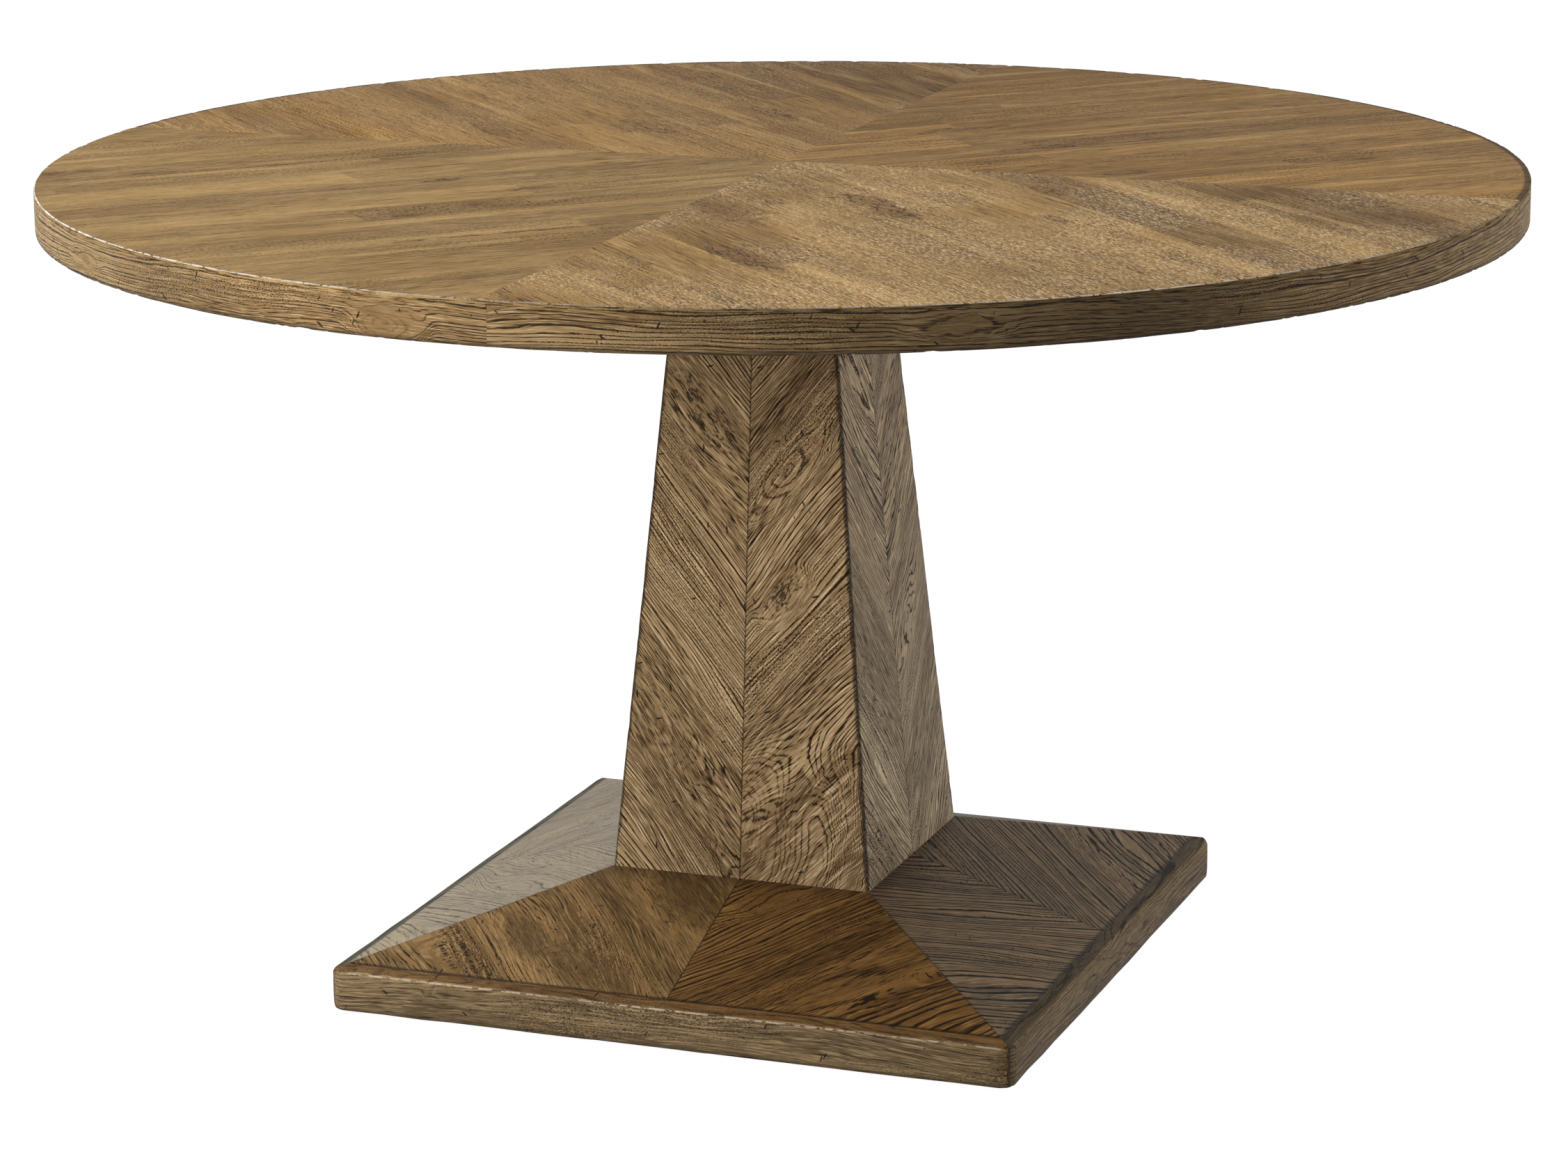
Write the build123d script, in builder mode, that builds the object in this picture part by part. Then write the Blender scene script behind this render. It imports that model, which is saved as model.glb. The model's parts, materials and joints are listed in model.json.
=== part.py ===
from build123d import *

import os
from math import atan2, cos, degrees, hypot, radians, sin, sqrt

# Round pedestal dining table: a thick round top on a square column that flares out to
# a low hipped foot. Every show face is laid with diagonal oak leaves that meet in V's.
# Millimetres, +Z up, front towards -Y, origin on the floor under the middle of the table.

# Overall sizes
table_height = 770.0
top_diameter = 1400.0
base_width = 675.0

# Top
top_edge_height = 40.0        # the rim, from its lower edge to the table top
top_leaf_thickness = 4.0
core_thickness = 23.0
band_width = 45.0             # solid edge band, measured along the radius
rim_round = 3.0
band_round = 2.0
leaf_meeting_x = -8.0         # where the four leaves meet, a little off the table's axis
leaf_meeting_y = 28.0
glue_gap = 0.15               # between the curved faces of band and core

# Column, square in plan
neck_width = 150.0            # level with the lower edge of the rim
foot_width = 260.0            # where the hip panels meet it
foot_height = 104.0
column_board_thickness = 18.0
column_leaf_thickness = 3.0
column_round = 2.0
head_block_height = 45.0
foot_block_height = 36.0
corner_block_depth = 18.0     # from the inner corner to the block's long face
block_fit = 0.2               # round the blocks inside the column

# Base
base_reveal = 2.0             # the edging stands this far off the floor
edging_height = 39.0
edging_width = 14.0
edging_round = 3.0
edging_lower_round = 1.5
base_corner_round = 11.0
hip_leaf_thickness = 3.0
hip_board_thickness = 12.0
base_board_thickness = 18.0
ledger_width = 30.0
rib_thickness = 18.0

# Edge biscuits, lens-shaped tongues between the core and the band
biscuit_length = 56.0
biscuit_width = 23.0
biscuit_thickness = 4.0
biscuit_fit = 0.15
biscuit_count = 16            # a multiple of four, so that none crosses a band joint

# Mounting plate and its fixings
plate_diameter = 460.0
plate_thickness = 6.0
boss_radius = 12.0
boss_length = 30.0
bolt_circle = 400.0
bolt_count = 8
bolt_radius = 4.0
bolt_length = 19.0
bolt_head_radius = 7.0
bolt_head_height = 4.4
bolt_socket_width = 5.0
bolt_socket_depth = 2.6
bolt_hole_radius = 4.5
insert_radius = 6.5
insert_length = 14.0
insert_hole_spare = 3.0
thread_fit = 0.05             # radial, round every threaded shank
screw_spacing = 60.0          # plate to column head, on a square
screw_radius = 3.0
screw_length = 38.0
screw_head_radius = 5.8
screw_head_height = 3.2

# Tie rod that clamps plate, column and base board together
rod_radius = 6.0
rod_hole_radius = 6.6
rod_chamfer = 1.0
rod_plate_spare = 3.0         # from the top of the rod to the plate
rod_nut_spare = 2.5           # rod showing below the nut
nut_width = 18.0
nut_height = 10.8
washer_radius = 18.5
washer_thickness = 3.0
nut_recess_radius = 21.0
nut_recess_depth = 11.0

# Levelling glides
glide_inset = 50.0            # from the inner face of the edging to the glide's axis
pad_radius = 16.0
pad_thickness = 5.0
pad_floor = 1.5               # nylon under the stud's head
pad_round = 1.0
stud_head_radius = 7.0
stud_head_height = 2.0
stud_radius = 3.95
stud_length = 17.8
stud_hex_width = 13.0
stud_hex_height = 2.9
stud_play = 0.1               # axial, between stud and pad
hex_gap = 0.3                 # above and below the spanner hexagon
tee_nut_radius = 11.0
tee_nut_flange = 1.5
tee_nut_barrel_radius = 5.0
tee_nut_length = 11.5
tee_nut_fit = 0.1

# Levels and widths that follow from the sizes above
rim_level = table_height - top_edge_height
core_top = table_height - top_leaf_thickness
core_bottom = core_top - core_thickness
plate_bottom = core_bottom - plate_thickness
top_radius = top_diameter / 2
joint_radius = top_radius - band_width
base_half = base_width / 2
base_inner = base_half - edging_width
edge_level = base_reveal + edging_height
column_slope = (foot_width - neck_width) / 2 / (rim_level - foot_height)
column_skew = hypot(1, column_slope)
hip_slope = (foot_height - edge_level) / (base_half - foot_width / 2)
hip_skew = hypot(1, hip_slope)
column_wall = column_board_thickness + column_leaf_thickness
hip_wall = hip_board_thickness + hip_leaf_thickness
hex_bottom = pad_thickness + hex_gap
board_bottom = hex_bottom + stud_hex_height + hex_gap
board_top = board_bottom + base_board_thickness
nut_seat = board_bottom + nut_recess_depth
glide_offset = base_inner - glide_inset
biscuit_level = (core_top + core_bottom) / 2

sides = {"front": -90, "right": 0, "back": 90, "left": 180}
corners = {"front_right": -90, "back_right": 0, "back_left": 90, "front_left": 180}

os.makedirs("parts", exist_ok=True)


def save(piece, name):
    """Label a finished piece and write it under its own name."""
    piece.part.label = name
    export_step(piece.part, f"parts/{name}.step")


def column_half(level):
    """Half the column's width at a level."""
    return neck_width / 2 + (rim_level - level) * column_slope


def hip_level(distance):
    """Level of the hip planes at a distance from the table's axis, square to a side."""
    return edge_level + (base_half - distance) * hip_slope


def radial_plane(angle):
    """Upright plane through the table's axis: x runs outwards, y upwards."""
    turn = radians(angle)
    return Plane((0, 0, 0), x_dir=(cos(turn), sin(turn), 0), z_dir=(sin(turn), -cos(turn), 0))


def frustum(low, half_low, high, half_high, mode=Mode.ADD, turn=0):
    """Square frustum about the table's axis, for the piece being built."""
    lean = degrees(atan2(half_low - half_high, high - low))
    with BuildSketch(Plane.XY.offset(low)) as outline:
        Rectangle(2 * half_low, 2 * half_low, rotation=turn)
    extrude(outline.sketch, amount=high - low, taper=lean, mode=mode)


def column_body(inset, low, high, mode=Mode.ADD):
    """The column between two levels, its faces moved in by inset."""
    drawn_in = inset * column_skew
    frustum(low, column_half(low) - drawn_in, high, column_half(high) - drawn_in, mode)


def below_hips(depth, mode=Mode.ADD):
    """All that lies under the hip planes, once they are lowered square to themselves."""
    drop = depth * hip_skew
    outer = base_width
    inner = foot_width / 4
    frustum(hip_level(outer) - drop, outer, hip_level(inner) - drop, inner, mode)


def square_block(half, low, high, mode=Mode.ADD):
    """Square block about the table's axis between two levels."""
    with BuildSketch(Plane.XY.offset(low)) as outline:
        Rectangle(2 * half, 2 * half)
    extrude(outline.sketch, amount=high - low, mode=mode)


def round_bar(radius, low, high, places=((0, 0),), mode=Mode.ADD):
    """Upright round bars, or holes, between two levels."""
    with BuildSketch(Plane.XY.offset(low)) as outline:
        with Locations(*places):
            Circle(radius)
    extrude(outline.sketch, amount=high - low, mode=mode)


def keep_sector(start, sweep, x=0.0, y=0.0):
    """Keep what lies between two upright planes that meet at x, y."""
    reach = 2 * top_diameter
    ends = [radians(start), radians(start + sweep)]
    with BuildSketch(Plane.XY.offset(-table_height)) as sector:
        Polygon((x, y), *[(x + reach * cos(end), y + reach * sin(end)) for end in ends],
                align=None)
    extrude(sector.sketch, amount=3 * table_height, mode=Mode.INTERSECT)


def circle_places(radius, count, start=0):
    """Points spaced evenly round the table's axis."""
    turns = [radians(start + 360 * place / count) for place in range(count)]
    return [(radius * cos(turn), radius * sin(turn)) for turn in turns]


def square_places(half):
    """The four corners of a square about the table's axis."""
    return [(x, y) for x in (-half, half) for y in (-half, half)]


def corner_place(angle):
    """The glide in the quarter that starts at this angle."""
    turn = radians(angle + 45)
    reach = glide_offset * sqrt(2)
    return reach * cos(turn), reach * sin(turn)


def biscuits(spare, mode=Mode.ADD):
    """The ring of biscuits, or with some spare the slots cut for them."""
    half_length = biscuit_length / 2 + spare
    half_width = biscuit_width / 2 + spare
    thickness = biscuit_thickness + 2 * spare
    with BuildSketch() as lens:
        with BuildLine():
            ThreePointArc((0, -half_length), (half_width, 0), (0, half_length))
            ThreePointArc((0, half_length), (-half_width, 0), (0, -half_length))
        make_face()
    with BuildSketch(Plane.XY.offset(biscuit_level - thickness / 2)) as lenses:
        with PolarLocations(joint_radius, biscuit_count, start_angle=180 / biscuit_count):
            add(lens.sketch)
    extrude(lenses.sketch, amount=thickness, mode=mode)


# ---- Top ----

bolt_places = circle_places(bolt_circle / 2, bolt_count, 180 / bolt_count)
insert_hole_depth = insert_length + insert_hole_spare

with BuildPart() as top_core:
    round_bar(joint_radius - glue_gap, core_bottom, core_top)
    round_bar(insert_radius + thread_fit, core_bottom, core_bottom + insert_hole_depth,
              bolt_places, Mode.SUBTRACT)
    biscuits(biscuit_fit, Mode.SUBTRACT)
save(top_core, "top_core")

for name, start in corners.items():
    with BuildPart() as top_leaf:
        with BuildSketch(radial_plane(start + 45)):
            with BuildLine():
                Polyline((0, table_height), (0, core_top), (top_radius, core_top),
                         (top_radius, table_height - rim_round))
                RadiusArc((top_radius, table_height - rim_round),
                          (top_radius - rim_round, table_height), -rim_round)
                Line((top_radius - rim_round, table_height), (0, table_height))
            make_face()
        revolve(axis=Axis.Z)
        keep_sector(start, 90, leaf_meeting_x, leaf_meeting_y)
    save(top_leaf, f"top_leaf_{name}")

for name, start in corners.items():
    with BuildPart() as edge_band:
        with BuildSketch(radial_plane(start)):
            with BuildLine():
                Polyline((top_radius, rim_level + band_round), (top_radius, core_top),
                         (joint_radius, core_top), (joint_radius, rim_level),
                         (top_radius - band_round, rim_level))
                RadiusArc((top_radius - band_round, rim_level),
                          (top_radius, rim_level + band_round), -band_round)
            make_face()
        revolve(axis=Axis.Z, revolution_arc=90)
        biscuits(biscuit_fit, Mode.SUBTRACT)
    save(edge_band, f"edge_band_{name}")

with BuildPart() as edge_biscuits:
    biscuits(0)
save(edge_biscuits, "edge_biscuits")

# ---- Column ----

for name, angle in sides.items():
    with BuildPart() as column_board:
        column_body(column_leaf_thickness, board_top, plate_bottom)
        column_body(column_wall, board_top, plate_bottom, Mode.SUBTRACT)
        keep_sector(angle - 45, 90)
    save(column_board, f"column_board_{name}")

    for half, start in ((1, angle - 45), (2, angle)):
        with BuildPart() as column_leaf:
            column_body(0, board_top, plate_bottom)
            fillet(column_leaf.edges().filter_by(Plane.XY, reverse=True), column_round)
            column_body(column_leaf_thickness, board_top, plate_bottom, Mode.SUBTRACT)
            keep_sector(start, 45)
        save(column_leaf, f"column_leaf_{name}_{half}")

screw_places = square_places(screw_spacing / 2)
screw_tip = core_bottom - screw_length

with BuildPart() as column_head:
    column_body(column_wall + block_fit, plate_bottom - head_block_height, plate_bottom)
    round_bar(boss_radius + block_fit, plate_bottom - head_block_height, plate_bottom,
              mode=Mode.SUBTRACT)
    round_bar(screw_radius + thread_fit, screw_tip, plate_bottom, screw_places, Mode.SUBTRACT)
save(column_head, "column_head")

with BuildPart() as column_foot:
    column_body(column_wall + block_fit, board_top, board_top + foot_block_height)
    round_bar(rod_hole_radius, board_top, board_top + foot_block_height, mode=Mode.SUBTRACT)
save(column_foot, "column_foot")

with BuildPart() as corner_blocks:
    low = board_top + foot_block_height
    high = plate_bottom - head_block_height
    drawn_in = column_wall * column_skew
    column_body(column_wall, low, high)
    frustum(low, (column_half(low) - drawn_in) * sqrt(2) - corner_block_depth,
            high, (column_half(high) - drawn_in) * sqrt(2) - corner_block_depth,
            Mode.SUBTRACT, turn=45)
save(corner_blocks, "corner_blocks")

# ---- Mounting plate and fixings ----

with BuildPart() as mounting_plate:
    round_bar(plate_diameter / 2, plate_bottom, core_bottom)
    round_bar(boss_radius, plate_bottom - boss_length, plate_bottom)
    round_bar(rod_radius + thread_fit, plate_bottom - boss_length, plate_bottom,
              mode=Mode.SUBTRACT)
    round_bar(bolt_hole_radius, plate_bottom, core_bottom, bolt_places, Mode.SUBTRACT)
    with Locations(Plane.XY.offset(core_bottom)):
        with Locations(*screw_places):
            CounterSinkHole(screw_radius + 2 * thread_fit, screw_head_radius + thread_fit)
save(mounting_plate, "mounting_plate")

with BuildPart() as head_screws:
    for place in screw_places:
        with BuildSketch(Plane.XZ.offset(-place[1])):
            with BuildLine():
                Polyline((place[0], core_bottom), (place[0] + screw_head_radius, core_bottom),
                         (place[0] + screw_radius, core_bottom - screw_head_height),
                         (place[0] + screw_radius, screw_tip + 2 * screw_radius),
                         (place[0], screw_tip), close=True)
            make_face()
        revolve(axis=Axis((place[0], place[1], 0), (0, 0, 1)))
save(head_screws, "head_screws")

with BuildPart() as top_inserts:
    round_bar(insert_radius, core_bottom, core_bottom + insert_length, bolt_places)
    round_bar(bolt_radius + thread_fit, core_bottom, core_bottom + insert_length,
              bolt_places, Mode.SUBTRACT)
save(top_inserts, "top_inserts")

with BuildPart() as top_bolts:
    round_bar(bolt_head_radius, plate_bottom - bolt_head_height, plate_bottom, bolt_places)
    fillet(top_bolts.edges().group_by(Axis.Z)[0], bolt_head_height / 2)
    round_bar(bolt_radius, plate_bottom, plate_bottom + bolt_length, bolt_places)
    with BuildSketch(Plane.XY.offset(plate_bottom - bolt_head_height)):
        with Locations(*bolt_places):
            RegularPolygon(bolt_socket_width / 2, 6, major_radius=False)
    extrude(amount=bolt_socket_depth, mode=Mode.SUBTRACT)
save(top_bolts, "top_bolts")

rod_top = plate_bottom - rod_plate_spare
nut_top = nut_seat - washer_thickness
nut_bottom = nut_top - nut_height

with BuildPart() as tie_rod:
    round_bar(rod_radius, nut_bottom - rod_nut_spare, rod_top)
    chamfer(tie_rod.edges(), rod_chamfer)
save(tie_rod, "tie_rod")

with BuildPart() as tie_washer:
    round_bar(washer_radius, nut_top, nut_seat)
    round_bar(rod_hole_radius, nut_top, nut_seat, mode=Mode.SUBTRACT)
save(tie_washer, "tie_washer")

with BuildPart() as tie_nut:
    with BuildSketch(Plane.XY.offset(nut_bottom)):
        RegularPolygon(nut_width / 2, 6, major_radius=False)
        Circle(rod_radius + thread_fit, mode=Mode.SUBTRACT)
    extrude(amount=nut_height)
save(tie_nut, "tie_nut")

# ---- Base ----

edging_top = hip_level(base_inner)
corner_level = hip_level(base_half - base_corner_round * (1 - cos(radians(45))))
ledger_inner = base_inner - ledger_width
glide_places = square_places(glide_offset)

with BuildPart() as base_board:
    square_block(base_inner, board_bottom, board_top)
    round_bar(rod_hole_radius, board_bottom, board_top, mode=Mode.SUBTRACT)
    round_bar(nut_recess_radius, board_bottom, nut_seat, mode=Mode.SUBTRACT)
    round_bar(tee_nut_radius + tee_nut_fit, board_bottom, board_bottom + tee_nut_flange,
              glide_places, Mode.SUBTRACT)
    round_bar(tee_nut_barrel_radius + tee_nut_fit, board_bottom, board_top,
              glide_places, Mode.SUBTRACT)
save(base_board, "base_board")

for name, angle in sides.items():
    with BuildPart() as edging:
        with BuildSketch(Plane.XY.offset(base_reveal)):
            RectangleRounded(base_width, base_width, base_corner_round)
        extrude(amount=edging_top - base_reveal)
        below_hips(0, Mode.INTERSECT)
        show_edges = edging.edges().filter_by_position(Axis.Z, edge_level - edging_round, corner_level)
        fillet(show_edges, edging_round)
        fillet(edging.edges().group_by(Axis.Z)[0], edging_lower_round)
        square_block(base_inner, 0, foot_height, Mode.SUBTRACT)
        keep_sector(angle - 45, 90)
    save(edging, f"edging_{name}")

    with BuildPart() as hip_board:
        below_hips(hip_leaf_thickness)
        below_hips(hip_wall, Mode.SUBTRACT)
        column_body(0, -table_height, rim_level, Mode.SUBTRACT)
        square_block(base_inner, 0, rim_level, Mode.INTERSECT)
        keep_sector(angle - 45, 90)
    save(hip_board, f"hip_board_{name}")

    for half, start in ((1, angle - 45), (2, angle)):
        with BuildPart() as hip_leaf:
            below_hips(0)
            below_hips(hip_leaf_thickness, Mode.SUBTRACT)
            column_body(0, -table_height, rim_level, Mode.SUBTRACT)
            square_block(base_inner, 0, rim_level, Mode.INTERSECT)
            keep_sector(start, 45)
        save(hip_leaf, f"hip_leaf_{name}_{half}")

with BuildPart() as hip_ledgers:
    with BuildSketch(Plane.XY.offset(board_top)):
        with PolarLocations(base_inner - ledger_width / 2, 4):
            Rectangle(ledger_width, 2 * ledger_inner)
    extrude(amount=foot_height)
    below_hips(hip_wall, Mode.INTERSECT)
save(hip_ledgers, "hip_ledgers")

with BuildPart() as hip_ribs:
    with BuildSketch(Plane.XY.offset(board_top)):
        with PolarLocations(base_inner, 8):
            Rectangle(2 * base_inner, rib_thickness)
    extrude(amount=foot_height)
    below_hips(hip_wall, Mode.INTERSECT)
    square_block(ledger_inner, 0, foot_height, Mode.INTERSECT)
    column_body(0, -table_height, rim_level, Mode.SUBTRACT)
save(hip_ribs, "hip_ribs")

# ---- Levelling glides ----

with BuildPart() as tee_nuts:
    round_bar(tee_nut_radius, board_bottom, board_bottom + tee_nut_flange, glide_places)
    round_bar(tee_nut_barrel_radius, board_bottom, board_bottom + tee_nut_length, glide_places)
    round_bar(stud_radius + thread_fit, board_bottom, board_bottom + tee_nut_length,
              glide_places, Mode.SUBTRACT)
save(tee_nuts, "tee_nuts")

head_bottom = pad_floor + stud_play
head_top = head_bottom + stud_head_height

for name, angle in corners.items():
    place = [corner_place(angle)]

    with BuildPart() as glide_pad:
        round_bar(pad_radius, 0, pad_thickness, place)
        fillet(glide_pad.edges().group_by(Axis.Z)[0], pad_round)
        round_bar(stud_head_radius + thread_fit, pad_floor, head_top + stud_play, place,
                  Mode.SUBTRACT)
        round_bar(stud_radius + thread_fit, pad_floor, pad_thickness, place, Mode.SUBTRACT)
    save(glide_pad, f"glide_pad_{name}")

    with BuildPart() as glide_stud:
        round_bar(stud_head_radius, head_bottom, head_top, place)
        round_bar(stud_radius, head_bottom, hex_bottom + stud_hex_height + stud_length, place)
        with BuildSketch(Plane.XY.offset(hex_bottom)):
            with Locations(*place):
                RegularPolygon(stud_hex_width / 2, 6, major_radius=False)
        extrude(amount=stud_hex_height)
    save(glide_stud, f"glide_stud_{name}")
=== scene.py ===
import json
from math import cos, hypot, pi, radians, sin, sqrt

import bmesh
import bpy
from mathutils import Euler, Matrix, Vector


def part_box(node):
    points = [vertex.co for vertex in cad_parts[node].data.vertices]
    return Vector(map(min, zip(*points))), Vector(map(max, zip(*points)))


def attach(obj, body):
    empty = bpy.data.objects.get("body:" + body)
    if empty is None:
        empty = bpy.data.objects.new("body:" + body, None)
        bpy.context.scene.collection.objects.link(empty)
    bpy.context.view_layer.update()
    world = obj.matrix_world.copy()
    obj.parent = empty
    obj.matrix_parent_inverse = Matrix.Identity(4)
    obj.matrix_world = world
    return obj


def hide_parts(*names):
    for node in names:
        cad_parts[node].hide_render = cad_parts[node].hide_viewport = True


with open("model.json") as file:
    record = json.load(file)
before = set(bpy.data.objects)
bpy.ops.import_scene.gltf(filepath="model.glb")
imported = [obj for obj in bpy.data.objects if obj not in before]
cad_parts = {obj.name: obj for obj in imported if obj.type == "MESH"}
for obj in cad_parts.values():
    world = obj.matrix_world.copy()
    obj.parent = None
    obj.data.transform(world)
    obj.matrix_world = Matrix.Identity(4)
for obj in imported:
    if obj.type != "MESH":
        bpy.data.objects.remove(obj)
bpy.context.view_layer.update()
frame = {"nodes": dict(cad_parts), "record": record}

# ---------------- sizes, metres

SIDES = {"front": -90, "right": 0, "back": 90, "left": 180}
CORNERS = {"front_right": -90, "back_right": 0, "back_left": 90, "front_left": 180}

top_low, top_high = (corner.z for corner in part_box("top_leaf_front_right"))
meeting_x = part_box("top_leaf_front_right")[0].x
meeting_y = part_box("top_leaf_front_right")[1].y
rim_low, rim_high = (corner.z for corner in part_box("edge_band_front_right"))
rim_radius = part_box("edge_band_front_right")[1].x
band_width = 0.045
leaf_thickness = 0.003
arris_width, column_arris, seam_arris = 0.0014, 0.002, 0.0004

# The grain of the left (1) and right (2) leaf of a side, in degrees up towards the right.
COLUMN_GRAIN, HIP_GRAIN = {1: -50, 2: 50}, {1: -47, 2: 45}

# Two points of a mesh that are nearer than this are in one place, and faces that meet at a
# flatter angle than this are shaded as one.
HAIR, SMOOTH_ANGLE = 1e-5, radians(35)

column_low, column_high = (corner.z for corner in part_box("column_leaf_front_1"))
column_foot_half = -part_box("column_leaf_front_1")[0].y
hip_half = -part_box("hip_leaf_front_1")[0].y
hip_top_half = -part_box("hip_leaf_front_1")[1].y
hip_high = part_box("hip_leaf_front_1")[1].z
column_slope = (column_foot_half - hip_top_half) / (hip_high - column_low)
column_neck_half = column_foot_half - (column_high - column_low) * column_slope
edging_low, edging_high = (corner.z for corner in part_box("edging_front"))
base_half = -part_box("edging_front")[0].y
hip_slope = (hip_high - edging_high) / (hip_half - hip_top_half)

# ---------------- bench work


def take(piece):
    """Selects one piece alone and makes it the one in hand."""
    bpy.ops.object.select_all(action="DESELECT")
    piece.select_set(True)
    bpy.context.view_layer.objects.active = piece


def new_blank(name):
    """Names the primitive just added and puts its place, turn and size in its mesh."""
    piece = bpy.context.object
    piece.name = piece.data.name = name
    take(piece)
    bpy.ops.object.transform_apply(location=True, rotation=True, scale=True)
    return piece


def copy_of(piece, name, turn=0):
    """A copy with its own mesh, turned about the table's axis."""
    take(piece)
    bpy.ops.object.duplicate(linked=False)
    made = bpy.context.object
    made.name = made.data.name = name
    made.rotation_euler = (0, 0, radians(turn))
    bpy.ops.object.transform_apply(location=True, rotation=True, scale=True)
    return made


def to_edit(piece):
    take(piece)
    bpy.ops.object.mode_set(mode="EDIT")


def from_edit():
    bpy.ops.object.mode_set(mode="OBJECT")


def choose(kind, test):
    """In edit mode, selects the edges or faces that pass a test."""
    bpy.ops.mesh.select_mode(type=kind)
    bpy.ops.mesh.select_all(action="DESELECT")
    data = bpy.context.edit_object.data
    shell = bmesh.from_edit_mesh(data)
    for part in shell.edges if kind == "EDGE" else shell.faces:
        if test(part):
            part.select_set(True)
    shell.select_flush_mode()
    bmesh.update_edit_mesh(data)


def run_of(edge):
    return edge.verts[1].co - edge.verts[0].co


def middle_of(edge):
    return (edge.verts[0].co + edge.verts[1].co) / 2


def saw(point, direction):
    """Cuts the piece in hand by a plane and throws away the side the direction points to."""
    bpy.ops.mesh.select_mode(type="VERT")
    bpy.ops.mesh.select_all(action="SELECT")
    bpy.ops.mesh.bisect(plane_co=point, plane_no=direction, use_fill=True, clear_outer=True,
                        threshold=1e-6)


def face_outwards():
    """Turns every face of the piece in hand outwards."""
    bpy.ops.mesh.select_all(action="SELECT")
    bpy.ops.mesh.normals_make_consistent(inside=False)


def round_over(test, width, segments):
    """Rounds the edges that pass a test."""
    choose("EDGE", test)
    bpy.ops.mesh.bevel(offset=width, segments=segments, affect="EDGES")


def cross_cut(test, *cuts):
    """Divides the edges that pass a test, once for each number of cuts."""
    for number in cuts:
        choose("EDGE", test)
        bpy.ops.mesh.subdivide(number_cuts=number)


def outward(angle):
    return Vector((cos(radians(angle)), sin(radians(angle)), 0))


def rightward(angle):
    """To the right along a side, as seen from outside."""
    return Vector((-sin(radians(angle)), cos(radians(angle)), 0))


def mitre_half(half):
    """Keeps the left (1) or right (2) half of the front side, from its middle to the mitre."""
    across = rightward(SIDES["front"]) * (1 if half == 1 else -1)
    saw((0, 0, 0), across)
    saw((0, 0, 0), -across - outward(SIDES["front"]))


# ---------------- wear


def clouds(name, low, high):
    """A texture for wear: nothing below the low tone, all of it above the high one."""
    made = bpy.data.textures.new(name, "CLOUDS")
    made.noise_scale, made.noise_depth, made.use_color_ramp = 1.0, 1, True
    for end, position, tone in zip(made.color_ramp.elements, (low, high), (0, 1)):
        end.position, end.color = position, (tone, tone, tone, 1)
    return made


swells, bruises = clouds("slow_swells", 0.25, 0.75), clouds("bruises", 0.22, 0.42)


def mark(piece, name, weight_of):
    """Gives each point of a piece a weight from 0 to 1, for the wear to follow."""
    group = piece.vertex_groups.new(name=name)
    levels = {}
    for point in piece.data.vertices:
        level = round(20 * min(1, max(0, weight_of(point.co))))
        if level:
            levels.setdefault(level, []).append(point.index)
    for level, points in levels.items():
        group.add(points, level / 20, "REPLACE")


def rub(piece, group, texture, depth, size, shift=(0, 0, 0)):
    """Takes up to a depth off the marked points, by a texture stretched to a size."""
    bpy.ops.object.empty_add(location=shift)
    jig = bpy.context.object
    jig.scale = size
    take(piece)
    bpy.context.view_layer.update()
    bpy.ops.object.modifier_add(type="DISPLACE")
    layer = piece.modifiers[-1]
    layer.texture, layer.texture_coords, layer.texture_coords_object = texture, "OBJECT", jig
    layer.vertex_group, layer.strength, layer.mid_level = group, depth, 1.0
    bpy.ops.object.modifier_apply(modifier=layer.name)
    bpy.data.objects.remove(jig)


def wear(piece, *edges):
    """Wears the edges of a piece: for each, its weights and its rounds of rubbing."""
    for number, (weight_of, *rounds) in enumerate(edges):
        mark(piece, f"edge_{number}", weight_of)
    for number, (weight_of, *rounds) in enumerate(edges):
        for texture, depth, size, *shift in rounds:
            rub(piece, f"edge_{number}", texture, depth, size, *shift)
    piece.vertex_groups.clear()


def coat(piece, material):
    piece.data.materials.clear()
    piece.data.materials.append(material)


def finish_piece(piece, node, material):
    """Smooths a piece, gives it its finish, and lets it stand for its CAD node."""
    take(piece)
    bpy.ops.object.shade_smooth_by_angle(angle=SMOOTH_ANGLE)
    coat(piece, material)
    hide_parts(node)
    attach(piece, "table")


# ---------------- materials


def stain(red, green, blue):
    """A colour given as it looks, 0 to 255, for a shader socket."""
    def lin(value):
        value /= 255
        return value / 12.92 if value <= 0.04045 else ((value + 0.055) / 1.055) ** 2.4
    return (lin(red), lin(green), lin(blue), 1.0)


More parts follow.
